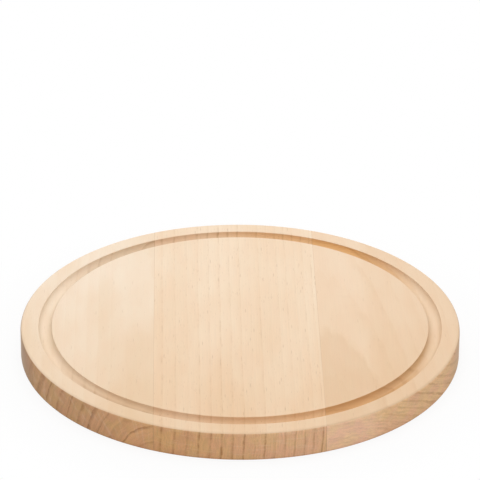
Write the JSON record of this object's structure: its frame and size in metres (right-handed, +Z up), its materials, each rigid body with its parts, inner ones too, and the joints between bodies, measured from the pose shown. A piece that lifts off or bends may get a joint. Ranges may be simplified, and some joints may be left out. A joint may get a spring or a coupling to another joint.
{
  "type": "round cutting board",
  "caption": "Round wooden cutting board of edge-glued staves, with eased edges and a round-nosed juice groove let into its top face near the rim.",
  "frame": {"origin": "centre of the underside, on the surface that the board lies on", "axes": "+Z up through the thickness to the cutting face, +Y along the grain from front to back, +X to the right across the staves"},
  "size_m": [0.3, 0.3, 0.02],
  "materials": {
    "beech_left": "pale beech with slanting rings, fine-sanded, bare and matt",
    "beech_middle": "quarter-sawn beech with fine straight lines, fine-sanded, bare and matt",
    "beech_right": "flat-sawn beech with broad arched bands, fine-sanded, bare and matt",
    "glue": "cured wood glue, sanded flush with the staves"
  },
  "bodies": {
    "root": {"stave_left": "beech_left", "glue_line_left": "glue", "stave_middle": "beech_middle", "glue_line_right": "glue", "stave_right": "beech_right"}
  },
  "joints": []
}
